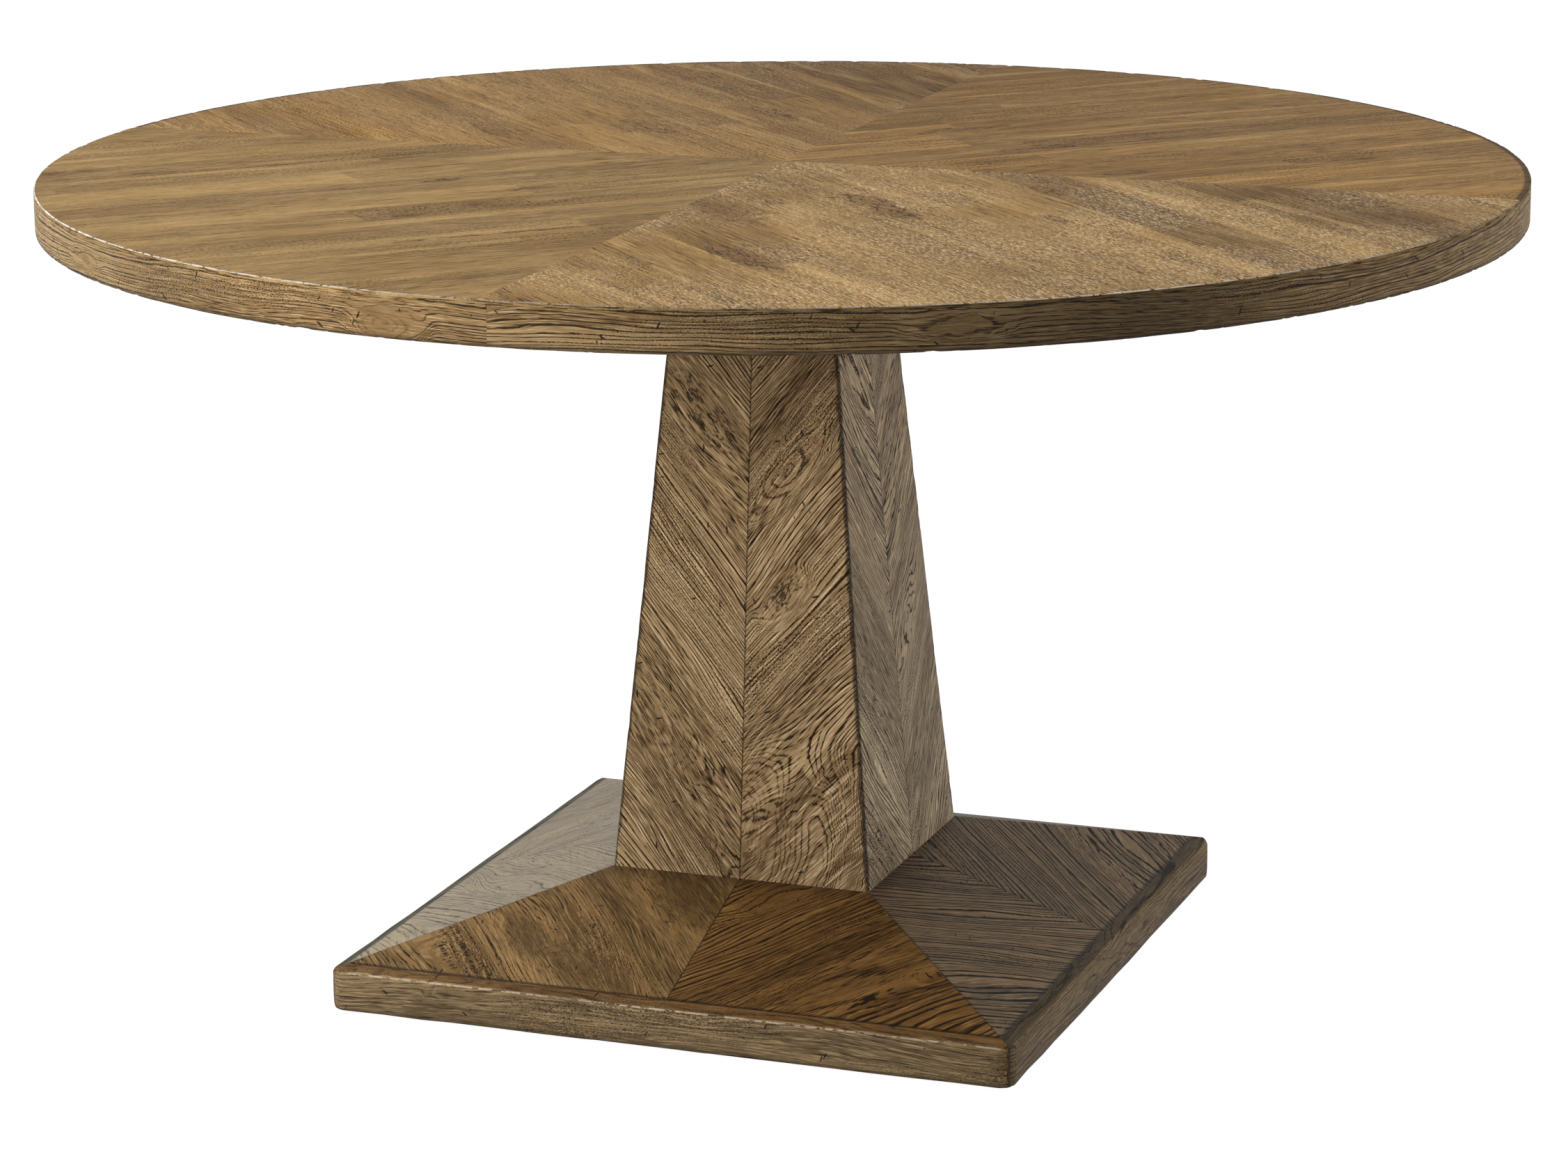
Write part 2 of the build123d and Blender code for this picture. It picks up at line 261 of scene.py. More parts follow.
class Recipe:
    """Writes the nodes of a material or of a group. Each step gives back its output."""

    def __init__(self, tree):
        self.tree = tree

    def add(self, kind, feeds=None, **settings):
        node = self.tree.nodes.new("ShaderNode" + kind)
        for key, value in settings.items():
            setattr(node, key, value)
        for socket, value in (feeds or {}).items():
            self.feed(node, socket, value)
        return node

    def feed(self, node, socket, value):
        if isinstance(value, bpy.types.NodeSocket):
            self.tree.links.new(value, node.inputs[socket])
        else:
            node.inputs[socket].default_value = value

    def calc(self, operation, *values):
        return self.add("Math", dict(enumerate(values)), operation=operation).outputs[0]

    def chain(self, operation, values):
        made = values[0]
        for value in values[1:]:
            made = self.calc(operation, made, value)
        return made

    def times(self, *values):
        return self.chain("MULTIPLY", values)

    def plus(self, *values):
        return self.chain("ADD", values)

    def most(self, *values):
        return self.chain("MAXIMUM", values)

    def size_of(self, value):
        return self.calc("ABSOLUTE", value)

    def sway(self, value, reach=1.0):
        """A noise about zero instead of about a half, that far to either side together."""
        off = self.calc("SUBTRACT", value, 0.5)
        return off if reach == 1.0 else self.times(off, reach)

    def apart(self, first, second):
        return self.size_of(self.calc("SUBTRACT", first, second))

    def fade(self, value, low, high, start=0.0, end=1.0):
        """Goes smoothly from start to end as the value goes from low to high."""
        feeds = {0: value, 1: low, 2: high, 3: start, 4: end}
        return self.add("MapRange", feeds, interpolation_type="SMOOTHSTEP").outputs[0]

    def fall(self, value, low, high):
        return self.fade(value, low, high, 1.0, 0.0)

    def tint(self, colour, by):
        return self.blend(1.0, colour, by, "MULTIPLY")

    def here(self):
        """The point of the piece that is being coloured."""
        return self.add("TexCoord").outputs["Object"]

    def laid(self, place, turn, shift=(0.0, 0.0, 0.0)):
        feeds = {"Vector": place, "Location": shift, "Rotation": turn}
        return self.add("Mapping", feeds).outputs[0]

    def stretch(self, place, size, operation="MULTIPLY"):
        return self.add("VectorMath", {0: place, 1: size}, operation=operation).outputs[0]

    def noise(self, place, size, detail=1.0, roughness=0.5, distortion=0.0):
        """Noise so many to the metre on each axis. One or two numbers stand for all three."""
        size = (size + 2 * size[-1:])[:3]
        feeds = {"Vector": self.stretch(place, size), "Scale": 1.0, "Detail": detail,
                 "Roughness": roughness, "Distortion": distortion}
        return self.add("TexNoise", feeds).outputs[0]

    def blend(self, share, first, second, how="MIX"):
        feeds = {0: share, 6: first, 7: second}
        return self.add("Mix", feeds, data_type="RGBA", blend_type=how).outputs[2]

    def use(self, group, feeds):
        return self.add("Group", feeds, node_tree=group).outputs

    def split(self, place):
        return self.add("SeparateXYZ", {0: place}).outputs

    def join(self, x, y, z):
        return self.add("CombineXYZ", {0: x, 1: y, 2: z}).outputs[0]


def new_group(name, inputs, outputs):
    """A node group ready for a recipe. Its sockets are listed by kind."""
    tree = bpy.data.node_groups.new(name, "ShaderNodeTree")
    for way, sockets in (("INPUT", inputs), ("OUTPUT", outputs)):
        for kind, labels in sockets.items():
            for label in labels:
                tree.interface.new_socket(label, in_out=way, socket_type="NodeSocket" + kind)
    taken = tree.nodes.new("NodeGroupInput")
    given = tree.nodes.new("NodeGroupOutput")
    return tree, Recipe(tree), taken.outputs, given


def make_brushed_oak():
    """Oak as the brush leaves it: rings, open pores, streaks. The board lies in its XY plane,
    with the grain along X."""
    tree, r, taken, given = new_group(
        "brushed_oak",
        {"Vector": ["Board"],
         "Float": ["Ring Width", "Swirl", "Swell", "Figure", "Pores", "Depth", "Ridges",
                   "Streaks"],
         "Color": ["Pale", "Mid", "Deep", "Grain"]},
        {"Color": ["Colour"], "Float": ["Height", "Dark"]})
    board = taken["Board"]
    x, y, z = r.split(board)
    wide = r.noise(board, (1.1, 5.0), 0.0)
    curl = r.noise(board, (4.5, 19.0))
    waver = r.noise(board, (16.0, 95.0))
    bend = r.plus(r.sway(wide, 2.2), r.sway(curl, 0.65))
    rings = r.plus(y, r.times(bend, taken["Swirl"]), taken["Swell"], r.sway(waver, 0.0028))
    flow = r.join(x, r.plus(rings, r.times(taken["Swell"], -1.0)), z)
    rings = r.calc("DIVIDE", rings, taken["Ring Width"])
    years = r.add("TexNoise", {"W": r.times(rings, 0.31), "Scale": 1.0, "Detail": 1.0},
                  noise_dimensions="1D").outputs[0]
    rings = r.plus(rings, r.sway(years, 1.8))
    ring = r.calc("FLOOR", rings)
    part = r.calc("FRACT", rings)
    ring_strength = r.add("TexWhiteNoise", {"W": ring}, noise_dimensions="1D").outputs["Value"]
    ring_strength = r.calc("MULTIPLY_ADD", ring_strength, 0.5, 0.5)
    early = r.times(r.fade(part, 0.0, 0.08), r.fall(part, 0.14, 0.46), ring_strength)

    pits = r.noise(flow, (520.0, 1300.0), 0.0)
    dash = r.noise(flow, (70.0, 1350.0))
    fibre = r.noise(flow, (30.0, 760.0), 2.0, 0.65)
    zone = r.noise(board, (2.6, 9.0))
    pitted = r.fade(r.noise(board, (4.1, 17.0)), 0.44, 0.66)
    strand = r.plus(r.times(dash, r.calc("SUBTRACT", 1.0, pitted)), r.times(pits, pitted))
    grain = r.plus(r.times(strand, 0.58), r.times(fibre, 0.42),
                   r.times(early, taken["Figure"], r.fade(zone, 0.38, 0.5, 0.35, 1.0)),
                   r.fade(zone, 0.38, 0.5, 0.05, -0.02), taken["Pores"])
    dark = r.times(r.fade(grain, 0.59, 0.66), taken["Depth"])
    ridge = r.plus(r.times(grain, 0.6), r.times(fibre, 0.4))
    ridge = r.times(r.fall(ridge, 0.36, 0.52), taken["Ridges"])

    tone = r.noise(board, (2.4, 38.0), 3.0, 0.55)
    blotch = r.noise(board, (3.2, 13.0), 2.0)
    colour = r.blend(r.fade(tone, 0.34, 0.66), taken["Mid"], taken["Deep"])
    colour = r.blend(r.times(r.fade(blotch, 0.45, 0.75), taken["Streaks"]), colour,
                     taken["Deep"])
    colour = r.blend(r.times(early, 0.3), colour, taken["Deep"])
    colour = r.blend(ridge, colour, taken["Pale"])
    colour = r.blend(dark, colour, taken["Grain"])
    height = r.plus(r.times(ridge, 0.00018), r.times(dark, -0.00035), r.times(early, -0.0002))
    for label, value in (("Colour", colour), ("Height", height), ("Dark", dark)):
        r.feed(given, label, value)
    return tree


def make_distress():
    """Worm holes and small cuts, as a mask from 0 to 1."""
    tree, r, taken, given = new_group(
        "distress", {"Vector": ["Board"], "Float": ["Amount"]}, {"Float": ["Marks"]})
    board = taken["Board"]
    ragged = r.add("TexNoise", {"Vector": board, "Scale": 420.0, "Detail": 1.0})
    bent = r.stretch(board, r.stretch(ragged.outputs["Color"], (0.0016, 0.0016, 0.0)), "ADD")
    marks = 0.0
    for turn, size, reach, share in ((0, (23.0, 23.0, 0.0), 0.026, 0.45),
                                     (35, (13.0, 55.0, 0.0), 0.06, 0.5),
                                     (-65, (15.0, 65.0, 0.0), 0.06, 0.55)):
        laid = r.laid(bent, (0.0, 0.0, radians(turn)), (0.31 * turn, 0.0, 0.0))
        cells = r.add("TexVoronoi", {"Vector": r.stretch(laid, size), "Scale": 1.0},
                      voronoi_dimensions="2D")
        draw = r.split(cells.outputs["Color"])
        size_here = r.times(r.fade(draw[0], share, 1.0), reach)
        off = r.calc("SUBTRACT", cells.outputs["Distance"], size_here)
        marks = r.most(r.fall(off, -0.012, 0.0), marks)
    r.feed(given, "Marks", r.times(marks, taken["Amount"]))
    return tree


def make_eye():
    """The rings bend round one point of the board, close up or crown there. Patch goes to 0.5
    over the dark wood round it, and on to 1 in its cracks."""
    tree, r, taken, given = new_group(
        "eye", {"Vector": ["Board", "Centre"], "Float": ["Long", "Reach", "Open", "Heart"]},
        {"Float": ["Swell", "Core", "Calm", "Patch"]})
    x, y = r.split(r.stretch(taken["Board"], taken["Centre"], "SUBTRACT"))[:2]
    ragged = r.noise(taken["Board"], (50.0, 110.0), 2.0)
    far = r.calc("SQRT", r.plus(r.calc("POWER", r.times(x, taken["Long"]), 2.0),
                                r.times(y, y)))
    far = r.plus(far, r.sway(ragged, 0.008))
    share = r.fall(r.calc("DIVIDE", far, taken["Reach"]), 0.45, 1.0)
    lift = r.calc("SUBTRACT", r.times(far, taken["Open"]), y)
    core = r.fall(r.plus(far, r.times(ragged, 0.004)), 0.0028, 0.0052)
    torn = r.noise(taken["Board"], (34.0, 130.0), 3.0, 0.6)
    out = r.calc("DIVIDE", r.plus(far, r.sway(torn, 0.022)), taken["Reach"])
    rift = r.size_of(r.sway(torn))
    crack = r.times(r.fall(rift, 0.01, 0.045), r.fall(out, 0.4, 0.75))
    patch = r.most(r.fade(out, 0.15, 0.85, 0.5, 0.0), crack)
    r.feed(given, "Swell", r.times(share, lift))
    for label, value in (("Calm", share), ("Core", core), ("Patch", patch)):
        r.feed(given, label, r.times(value, taken["Heart"]))
    return tree


brushed_oak = make_brushed_oak()
distress = make_distress()
eye = make_eye()


def gather_eyes(recipe, board, eyes, *wanted):
    """All the eyes of one board: what they add to the rings, and the marks wanted, by name."""
    swell, marks = 0.0, dict.fromkeys(wanted, 0.0)
    for eye_feeds in eyes:
        feeds = dict(zip(("Centre", "Long", "Reach", "Open", "Heart"), eye_feeds))
        found = recipe.use(eye, {"Board": board, **feeds})
        swell = recipe.plus(found["Swell"], swell)
        for name in marks:
            marks[name] = recipe.most(found[name], marks[name])
    return swell, marks


def new_material(name):
    material = bpy.data.materials.new(name)
    material.use_nodes = True
    material.node_tree.nodes.clear()
    recipe = Recipe(material.node_tree)
    shader = recipe.add("BsdfPrincipled")
    recipe.add("OutputMaterial", {0: shader.outputs[0]})
    return material, recipe, shader


def to_shader(r, shader, colour, rough, height, sheen=0.5):
    """Feeds a shader. A roughness or sheen that is the same all over is set on its socket."""
    bump = r.add("Bump", {"Height": height, "Distance": 1.0}).outputs[0]
    for socket, value in (("Base Color", colour), ("Roughness", rough), ("Normal", bump),
                          ("Specular IOR Level", sheen)):
        r.feed(shader, socket, value)


def oak_stains(pale, mid, deep, grain):
    """The four tones of one oak finish, under the names that the brushed oak gives them."""
    return {"Pale": stain(*pale), "Mid": stain(*mid), "Deep": stain(*deep),
            "Grain": stain(*grain)}


COLUMN_STAINS = oak_stains((200, 176, 139), (152, 127, 91), (114, 90, 60), (35, 22, 4))
# Paler and greyer for the right side: the grey is a painted sheen, the reflection on that face.
SHEEN_PAINTED_COLUMN_STAINS = oak_stains((220, 201, 170), (171, 152, 123), (136, 118, 93), (42, 30, 16))
TOP_STAINS = oak_stains((172, 144, 94), (138, 111, 67), (106, 82, 47), (54, 36, 16))
BAND_STAINS = oak_stains((204, 174, 129), (162, 132, 88), (124, 96, 58), (36, 23, 6))
GOLD_HIP_STAINS = oak_stains((162, 134, 92), (122, 96, 60), (84, 64, 36), (34, 24, 12))
HIP_STAINS = oak_stains((150, 115, 67), (110, 81, 44), (76, 53, 26), (27, 16, 5))
# The greyer stain of the right and back hips and the paler one of the left are partly a painted
# sheen.
SHEEN_PAINTED_HIP_STAINS = oak_stains((146, 123, 92), (104, 86, 61), (72, 59, 41), (14, 10, 5))
SHEEN_PAINTED_LEFT_HIP_STAINS = oak_stains((144, 126, 84), (116, 99, 61), (90, 75, 43), (42, 33, 17))
EDGING_STAINS = oak_stains((148, 127, 94), (116, 97, 68), (84, 68, 46), (34, 25, 13))
WHITE, GRIME_AND_SHADE = stain(255, 255, 255), stain(22, 16, 11)

# How much of the grime and painted shade a full mark takes on, and how far below the face its
# floor lies.
MARK_TONE, MARK_DEPTH = 0.92, 0.0006


def board_turn(angle, slope, grain):
    """The turn that lays a sloping side flat, its grain along X. Grain is degrees up from
    level towards the right, seen from outside."""
    out, right = outward(angle), rightward(angle)
    normal = (out + Vector((0, 0, slope))).normalized()
    up = normal.cross(right).normalized()
    along = (right * cos(radians(grain)) + up * sin(radians(grain))).normalized()
    across = normal.cross(along)
    return Matrix((along, across, normal))


def on_side(angle, slope, foot_half, foot_level, right, level):
    """The point on a sloping side that far to the right of its middle line, at a level."""
    reach = foot_half - (level - foot_level) * slope
    return outward(angle) * reach + rightward(angle) * right + Vector((0, 0, level))


def oak(name, turn, shift, stains, knots=(), ring_width=0.0034, swirl=0.05, figure=0.3,
        pores=0.0, depth=1.0, ridges=0.85, streaks=0.4, marks=1.0, gloss=0.6, sheen=0.12,
        patch=0.3, heart=0.9, edges=None):
    """One leaf's oak: its own cut of the log, its knots, its marks and its worn edges."""
    material, r, shader = new_material(name)
    place = r.here()
    board = r.laid(place, turn.to_euler(), shift)
    swell, knot = gather_eyes(
        r, board, [(turn @ Vector(point) + Vector(shift), *rest) for point, *rest in knots],
        "Core", "Calm", "Patch")
    wood = r.use(brushed_oak, {
        "Board": board, "Ring Width": ring_width, "Swirl": swirl, "Swell": swell,
        "Figure": r.calc("MULTIPLY_ADD", knot["Calm"], -0.55 * figure, figure), "Pores": pores,
        "Depth": depth, "Ridges": ridges, "Streaks": streaks, **stains})
    colour = r.blend(r.fade(knot["Patch"], 0.0, 0.5, 0.0, patch), wood["Colour"],
                     stains["Deep"])
    hurt = r.use(distress, {"Board": board, "Amount": marks})["Marks"]
    dark = r.most(r.times(knot["Core"], heart), hurt, r.fade(knot["Patch"], 0.5, 0.8, 0.0, heart))
    if edges:
        colour, dark = edges(r, place, colour, dark)
    colour = r.blend(r.times(dark, MARK_TONE), colour, GRIME_AND_SHADE)
    to_shader(r, shader, colour, r.plus(gloss, r.times(wood["Dark"], 0.2)),
              r.plus(wood["Height"], r.times(dark, -MARK_DEPTH)), sheen)
    return material


# ---------------- camera, floor, light

scene = bpy.context.scene
camera_azimuth, camera_reach, camera_height = radians(20.21), 4.545, 1.5182
camera_dip, camera_aim, camera_roll = radians(14.16), radians(0.012), radians(-0.397)
camera = bpy.data.objects.new("camera", bpy.data.cameras.new("camera"))
scene.collection.objects.link(camera)
scene.camera = camera
camera.data.lens, camera.data.sensor_width, camera.data.clip_end = 111.54, 36.0, 100.0
camera.location = (camera_reach * sin(camera_azimuth), -camera_reach * cos(camera_azimuth),
                   camera_height)
camera.rotation_euler = (Euler((0, 0, camera_azimuth + camera_aim)).to_matrix()
                         @ Euler((radians(90) - camera_dip, 0, 0)).to_matrix()
                         @ Euler((0, 0, camera_roll)).to_matrix()).to_euler()

scene.view_settings.view_transform = "Standard"


def seen_plainly(r):
    """1 for what the camera sees straight, or by way of metal or glass, and 0 for the light."""
    rays = r.add("LightPath").outputs
    return r.most(rays["Is Camera Ray"], rays["Is Glossy Ray"], rays["Is Transmission Ray"])


bpy.ops.mesh.primitive_circle_add(vertices=96, radius=30.0, fill_type="NGON")
floor = new_blank("floor")
material, r, shader = new_material("pale_floor")
r.feed(shader, "Base Color", (0.86, 0.86, 0.86, 1.0))
r.feed(shader, "Roughness", 0.9)
glow = r.add("Emission", {"Color": WHITE, "Strength": 1.12})
mixed = r.add("MixShader", {0: r.times(seen_plainly(r), 0.86), 1: shader.outputs[0],
                            2: glow.outputs[0]})
r.feed(r.tree.nodes["Material Output"], 0, mixed.outputs[0])
coat(floor, material)

world = bpy.data.worlds.new("studio")
scene.world = world
world.use_nodes = True
world.node_tree.nodes.clear()
r = Recipe(world.node_tree)
sky = r.add("Background", {"Color": WHITE,
                           "Strength": r.fade(seen_plainly(r), 0.0, 1.0, 0.13, 1.0)})
r.add("OutputWorld", {0: sky.outputs[0]})

# The soft lamps: where each one hangs and its power. They are as wide as high.
LAMP_WIDTH, LAMP_AIM = 2.0, Vector((0, 0, 0.5))
LAMPS = {"key": ((-2.88, -1.34, 3.68), 190), "low_front": ((-2.8, -3.2, 1.7), 122),
         "side": ((2.99, 1.09, 3.4), 108), "over": ((0, 0, 4.5), 87)}
for name, (place, power) in LAMPS.items():
    lamp = bpy.data.lights.new(name, "AREA")
    lamp.shape, lamp.size, lamp.size_y = "RECTANGLE", LAMP_WIDTH, LAMP_WIDTH
    lamp.energy = power
    holder = bpy.data.objects.new(name, lamp)
    scene.collection.objects.link(holder)
    holder.location = place
    holder.rotation_euler = (Vector(place) - LAMP_AIM).to_track_quat("Z", "Y").to_euler()

# ---------------- column


def flared_blank(name, low, high, low_half, high_half):
    """A square block whose sides slope, ready in edit mode."""
    bpy.ops.mesh.primitive_cone_add(
        vertices=4, radius1=low_half * sqrt(2), radius2=high_half * sqrt(2), depth=high - low,
        location=(0, 0, (low + high) / 2), rotation=(0, 0, radians(45)))
    blank = new_blank(name)
    to_edit(blank)
    return blank


column_blank = flared_blank("column_blank", column_low, column_high, column_foot_half,
                            column_neck_half)
round_over(lambda edge: abs(run_of(edge).z) > 0.1, column_arris, 3)
cross_cut(lambda edge: abs(run_of(edge).z) > 0.02, 17, 14)
from_edit()


def side_leaf(blank, name, half, normal, point, cuts):
    """Half of the front side's facing, cut from the blank, with a fine arris at its seam."""
    leaf = copy_of(blank, name)
    to_edit(leaf)
    mitre_half(half)
    saw(point - normal * leaf_thickness, -normal)

    def on_face(edge):
        return all(abs((vert.co - point).dot(normal)) < 2 * HAIR for vert in edge.verts)
    cross_cut(lambda edge: abs(run_of(edge).z) < HAIR and run_of(edge).length > 0.03
              and on_face(edge), cuts)
    round_over(lambda edge: max(abs(vert.co.x) for vert in edge.verts) < HAIR
               and on_face(edge), seam_arris, 1)
    face_outwards()
    from_edit()
    return leaf


def near_column_edge(place):
    """1 at the column's corners, 0 a centimetre away."""
    return 1 - abs(abs(place.x) - abs(place.y)) / 0.012


def from_corner(r, x, y):
    """How far a point of the column or the foot is from the corner line beside it."""
    return r.apart(r.size_of(x), r.size_of(y))


def seam_mark(r, x, y):
    """1 along the middle line of a side."""
    return r.fall(r.calc("MINIMUM", r.size_of(x), r.size_of(y)), 0.00036, 0.0012)


def column_edges(r, place, colour, dark, under=stain(184, 180, 174)):
    """Grimy at its corners and seams, with a painted shadow along its foot and painted shade,
    greyer, under the top.
    """
    x, y, z = r.split(place)
    ragged = r.noise(place, (90.0, 90.0, 60.0), 2.0)
    line = r.fall(from_corner(r, x, y), r.times(ragged, 0.0042), r.times(ragged, 0.0088))
    # A painted shadow along the column's foot, where it stands in the hips.
    foot = r.fade(z, column_low + 0.001, column_low + 0.006, 0.9, 0.0)
    dark = r.most(dark, r.times(line, 0.82), r.times(seam_mark(r, x, y), 0.55), foot)
    # Painted shade under the top: greyer towards the column's neck.
    up = r.blend(r.fade(z, 0.38, column_high), WHITE, under)
    return r.tint(colour, up), dark


# The right side, with a lighter painted shade under the top.
def right_column_edges(r, place, colour, dark):
    return column_edges(r, place, colour, dark, stain(238, 236, 232))


# Eyes of the column's leaves: how far right of the middle line, height, how long they are drawn
# along the grain (less is longer), reach, how the rings open (or crown the other way), heart.
COLUMN_KNOTS = {
    "front_1": [(-0.047, 0.55, 0.28, 0.03, -0.4, 0.8), (-0.09, 0.248, 0.42, 0.045, 0.5, 0.6),
                (0.01, 0.09, 0.4, 0.03, 0.7, 0.0)],
    "front_2": [(0.04, 0.497, 0.36, 0.028, 0.5, 0.3), (0.037, 0.379, 0.6, 0.026, 1.0, 1.0),
                (0.004, 0.128, 0.9, 0.14, 0.36, 0.5)],
    "right_1": [(-0.06, 0.62, 0.25, 0.045, -0.34, 0.0), (-0.075, 0.3, 0.5, 0.03, 0.7, 0.6)],
    "right_2": [(0.04, 0.33, 0.4, 0.04, 0.6, 0.0)],
    "back_1": [(-0.05, 0.3, 0.4, 0.05, 0.5, 0.8)],
    "back_2": [(0.05, 0.48, 0.35, 0.045, -0.5, 0.0)],
    "left_1": [(-0.04, 0.2, 0.5, 0.07, 0.5, 0.0)],
    "left_2": [(0.06, 0.42, 0.45, 0.04, 0.6, 0.8)],
}


def halves(blank, kind, slope, foot_half, foot_level, cuts):
    """The two leaves of the front side, which the other sides' leaves are copied from."""
    front = outward(SIDES["front"])
    facing = ((front + Vector((0, 0, slope))).normalized(),
              front * foot_half + Vector((0, 0, foot_level)), cuts)
    return {half: side_leaf(blank, f"{kind}_leaf_{half}", half, *facing) for half in (1, 2)}


column_leaves = halves(column_blank, "column", column_slope, column_foot_half, column_low, 50)
for order, (side, angle) in enumerate(SIDES.items()):
    for half, grain in COLUMN_GRAIN.items():
        node = f"column_leaf_{side}_{half}"
        leaf = copy_of(column_leaves[half], f"oak_{node}", angle + 90)
        wear(leaf, (near_column_edge, (swells, 0.0005, (0.08, 0.08, 0.12)),
                    (bruises, 0.0008, (0.012, 0.012, 0.018))))
        knots = [(on_side(angle, column_slope, column_foot_half, column_low, right, level), *rest)
                 for right, level, *rest in COLUMN_KNOTS[f"{side}_{half}"]]
        looks = dict(stains=COLUMN_STAINS, sheen=0.12, edges=column_edges)
        # The right side takes a painted sheen in its stain, and a lighter painted shade under the
        # top.
        if side == "right":
            looks = dict(stains=SHEEN_PAINTED_COLUMN_STAINS, sheen=0.2, edges=right_column_edges)
        finish_piece(leaf, node, oak(
            f"column_oak_{side}_{half}", board_turn(angle, column_slope, grain),
            (0.37 * order + 0.11, 0.23 * order + 0.5 * half, 0.0), knots=knots, pores=0.008,
            ridges=0.9, **looks))

# ---------------- foot

hip_blank = flared_blank("hip_blank", edging_high, hip_high, hip_half, hip_top_half)
cross_cut(lambda edge: abs(run_of(edge).z) > 0.01, 80)
from_edit()


def hip_edges(r, place, colour, dark):
    """Grimy along the hips, the seams and the edging, with painted shade round the column's foot.
    """
    x, y = r.split(place)[:2]
    out = r.most(r.size_of(x), r.size_of(y))
    line = r.fade(from_corner(r, x, y), 0.0006, 0.0022, 0.5, 0.0)
    rim = r.fade(out, hip_half - 0.005, hip_half - 0.001, 0.0, 0.9)
    # Painted shade round the column's foot.
    foot = r.fade(out, hip_top_half + 0.002, hip_top_half + 0.02, 0.35, 0.0)
    return colour, r.most(dark, line, rim, foot, r.times(seam_mark(r, x, y), 0.6))


# Eyes of the foot's leaves: right of the middle line, out from the table's axis, then as for
# the column.
HIP_KNOTS = {
    "front_1": [(-0.036, 0.172, 0.55, 0.055, 0.5, 0.9), (-0.167, 0.253, 0.4, 0.03, 0.4, 0.9),
                (-0.105, 0.287, 0.4, 0.035, -0.4, 0.9), (-0.054, 0.312, 0.5, 0.022, 0.5, 1.0),
                (-0.13, 0.13, 0.4, 0.03, 0.4, 0.6)],
    "front_2": [(0.207, 0.225, 0.3, 0.06, -0.5, 0.0), (0.045, 0.15, 0.4, 0.03, 0.5, 0.6)],
    "right_1": [],
    "right_2": [(0.225, 0.28, 0.35, 0.075, -0.4, 0.0)],
    "back_1": [(-0.12, 0.24, 0.4, 0.06, 0.5, 0.6)],
    "back_2": [(0.15, 0.25, 0.4, 0.05, -0.5, 0.0)],
    "left_1": [(-0.06, 0.25, 0.45, 0.05, 0.5, 0.5)],
    "left_2": [(0.12, 0.23, 0.4, 0.05, 0.5, 0.0)],
}

# How each leaf of the foot was cut: its stain, ring width, strength of the rings, pores.
# The greyer stain of the right and back sides and the paler one of the left are partly a painted
# sheen.
RINGED = (0.007, 0.42, 0.001)
HIP_CUTS = {f"{side}_{half}": (SHEEN_PAINTED_HIP_STAINS, *RINGED) for side in ("right", "back")
            for half in (1, 2)}
HIP_CUTS["front_1"] = (GOLD_HIP_STAINS, 0.0045, 0.14, 0.016)
HIP_CUTS["front_2"] = (HIP_STAINS, *RINGED)
HIP_CUTS["left_1"] = HIP_CUTS["left_2"] = (SHEEN_PAINTED_LEFT_HIP_STAINS, 0.005, 0.24, -0.015)

hip_leaves = halves(hip_blank, "hip", 1 / hip_slope, hip_half, edging_high, 90)
for order, (side, angle) in enumerate(SIDES.items()):
    gloss, sheen = (0.42, 0.5) if side == "left" else (0.5, 0.1)
    for half, grain in HIP_GRAIN.items():
        node = f"hip_leaf_{side}_{half}"
        leaf = copy_of(hip_leaves[half], f"oak_{node}", angle + 90)
        knots = [(on_side(angle, 0.0, out, 0.0, right,
                          edging_high + (hip_half - out) * hip_slope), *rest)
                 for right, out, *rest in HIP_KNOTS[f"{side}_{half}"]]
        stains, ring_width, figure, pores = HIP_CUTS[f"{side}_{half}"]
        finish_piece(leaf, node, oak(
            f"base_oak_{side}_{half}", board_turn(angle, 1 / hip_slope, grain),
            (0.31 * order + 0.17, 0.41 * order + 0.7 * half, 0.0), stains, knots,
            ring_width=ring_width, swirl=0.06, figure=figure, pores=pores, ridges=0.6,
            streaks=0.6, marks=0.9, gloss=gloss, sheen=sheen, patch=0.65, heart=0.35,
            edges=hip_edges))

# ---------------- edging of the foot

edge_level = edging_high - (base_half - hip_half) * hip_slope
corner_round, edging_arris, edging_low_arris = 0.015, 0.0045, 0.003
apex = edge_level + base_half * hip_slope
bpy.ops.mesh.primitive_cube_add(size=1.0, location=(0, 0, (edging_low + apex) / 2),
                                scale=(2 * base_half, 2 * base_half, apex - edging_low))
edging_blank = new_blank("edging_blank")
to_edit(edging_blank)
round_over(lambda edge: abs(run_of(edge).z) > 0.05, corner_round, 8)
for angle in SIDES.values():
    saw(outward(angle) * base_half + Vector((0, 0, edge_level)),
        outward(angle) * hip_slope + Vector((0, 0, 1)))


def turned_edge(high_face):
    """True for an edge between the upright wall and a face that looks up (or down)."""
    def test(edge):
        levels = sorted((face.normal.z for face in edge.link_faces), key=abs)
        return (len(levels) == 2 and abs(levels[0]) < 0.1 and abs(levels[1]) > 0.5
                and (levels[1] > 0) == high_face)
    return test


face_outwards()
round_over(turned_edge(True), edging_arris, 5)
round_over(turned_edge(False), edging_low_arris, 3)
from_edit()

